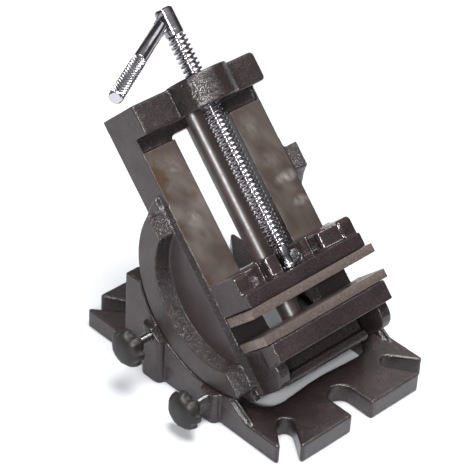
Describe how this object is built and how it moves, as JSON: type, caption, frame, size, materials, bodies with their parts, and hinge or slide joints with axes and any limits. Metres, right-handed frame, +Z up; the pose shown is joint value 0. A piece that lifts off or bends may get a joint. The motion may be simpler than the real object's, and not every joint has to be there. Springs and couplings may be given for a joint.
{
  "type": "tilting machine vise",
  "caption": "Cast tilting vise: slotted base with two cheeks, body with side discs that turns between them, screw-driven jaw on ground rails, folding lever and clamp knobs.",
  "frame": {"origin": "on the underside of the base, in the middle of the bridge between the front centre slot and the large opening", "axes": "+Z up, +Y towards the handle end, +X to the right of someone standing at the fixed jaw and looking towards the handle"},
  "size_m": [0.1521, 0.1868, 0.204],
  "materials": {
    "black_paint": "glossy brown-black enamel on rough cast iron, with milled faces left dull",
    "ground_steel": "ground steel with a brownish film",
    "zinc_plate": "bright zinc or chrome plate",
    "oiled_steel": "dark polished and oiled steel",
    "black_screw": "black oxide socket screws",
    "black_plastic": "moulded black plastic"
  },
  "bodies": {
    "base": {"base_cradle": "black_paint"},
    "thumb_rear_stud": {"thumb_rear_stud": "zinc_plate"},
    "thumb_rear_knob": {"thumb_rear_knob": "black_plastic"},
    "thumb_front_stud": {"thumb_front_stud": "zinc_plate"},
    "thumb_front_knob": {"thumb_front_knob": "black_plastic"},
    "vise": {"vise_body": "black_paint", "guide_rod": "oiled_steel", "rod_set_screw_front": "black_screw", "rod_set_screw_rear": "black_screw", "fixed_jaw_plate": "ground_steel", "fixed_jaw_plate_screw_left": "black_screw", "fixed_jaw_plate_screw_right": "black_screw"},
    "jaw": {"moving_jaw": "black_paint", "moving_jaw_plate": "ground_steel", "moving_jaw_plate_screw_left": "black_screw", "moving_jaw_plate_screw_right": "black_screw", "keeper_screw": "zinc_plate"},
    "screw": {"lead_screw": "zinc_plate", "lever_pin": "zinc_plate"},
    "lever": {"handle_lever": "zinc_plate"}
  },
  "joints": [
    {"name": "tilt", "type": "hinge", "parent": "base", "child": "vise", "pos_m": [0, 0.0383, 0.0833], "axis": [1, 0, 0], "range_deg": [-46, 44]},
    {"name": "jaw_slide", "type": "slide", "parent": "vise", "child": "jaw", "axis": [0, 0.6947, 0.7193], "range_m": [-0.0108, 0.084]},
    {"name": "screw_spin", "type": "hinge", "parent": "jaw", "child": "screw", "pos_m": [0, 0.0383, 0.0833], "axis": [0, 0.6947, 0.7193], "range_deg": [-1300, 10090]},
    {"name": "lever_fold", "type": "hinge", "parent": "screw", "child": "lever", "pos_m": [0, 0.14806, 0.19696], "axis": [0.4067, -0.6571, 0.6346], "range_deg": [-220, 0]},
    {"name": "thumb_rear_slide", "type": "slide", "parent": "base", "child": "thumb_rear_stud", "axis": [-1, 0, 0], "range_m": [0, 0.004]},
    {"name": "thumb_rear_turn", "type": "hinge", "parent": "thumb_rear_stud", "child": "thumb_rear_knob", "pos_m": [-0.08, 0.0828, 0.03228], "axis": [-1, 0, 0], "range_deg": [0, 1441]},
    {"name": "thumb_front_slide", "type": "slide", "parent": "base", "child": "thumb_front_stud", "axis": [-1, 0, 0], "range_m": [0, 0.004]},
    {"name": "thumb_front_turn", "type": "hinge", "parent": "thumb_front_stud", "child": "thumb_front_knob", "pos_m": [-0.08, 0.0326, 0.01684], "axis": [-1, 0, 0], "range_deg": [0, 1441]}
  ],
  "couplings": [
    {"joint": "screw_spin", "follows": "jaw_slide", "rad_per_m": 2094.4},
    {"joint": "thumb_rear_turn", "follows": "thumb_rear_slide", "rad_per_m": 6283.2},
    {"joint": "thumb_front_turn", "follows": "thumb_front_slide", "rad_per_m": 6283.2}
  ]
}
